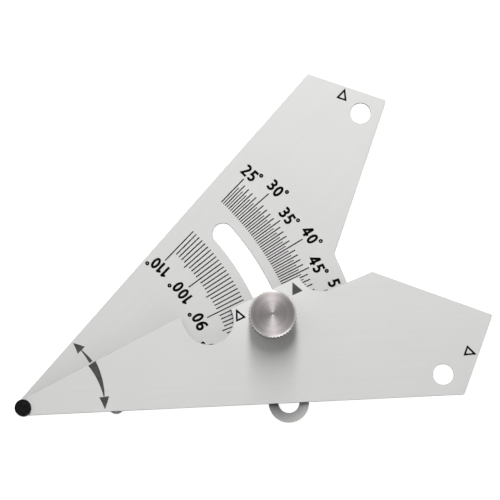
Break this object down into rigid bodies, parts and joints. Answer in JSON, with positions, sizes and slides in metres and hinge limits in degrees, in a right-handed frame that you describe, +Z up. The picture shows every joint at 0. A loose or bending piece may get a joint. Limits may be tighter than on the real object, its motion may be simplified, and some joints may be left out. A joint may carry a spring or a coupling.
{
  "type": "angle gauge",
  "caption": "Flat steel angle gauge: arms on a pivot at the nose, degree scales read at pointers, an arc slot and a knurled thumb nut that clamps the arms.",
  "frame": {"origin": "on the pivot axis, in the plane that the gauge lies on, at the end face of the pivot rivet's tail", "axes": "+X along the front arm's measuring edge, +Y into the angle between the arms, +Z up through the plates towards the thumb nut"},
  "size_m": [0.1201, 0.0872, 0.011],
  "materials": {
    "front_steel": "satin brushed",
    "rear_steel": "satin brushed",
    "black_rivet": "black oxide",
    "screw_steel": "turned",
    "washer_steel": "plain",
    "nut_steel": "turned, knurled rim"
  },
  "bodies": {
    "front_arm": {"front_plate": "front_steel", "pivot_rivet": "black_rivet", "clamp_screw": "screw_steel", "nut_washer": "washer_steel"},
    "rear_arm": {"rear_plate": "rear_steel"},
    "clamp_nut": {"thumb_nut": "nut_steel"}
  },
  "joints": [
    {"name": "arm_angle", "type": "hinge", "parent": "front_arm", "child": "rear_arm", "pos_m": [0, 0, 0], "axis": [0, 0, 1], "range_deg": [-21, 19]},
    {"name": "nut_turn", "type": "hinge", "parent": "front_arm", "child": "clamp_nut", "pos_m": [0.06318, 0.01992, 0], "axis": [0, 0, 1], "range_deg": [0, 270]}
  ]
}
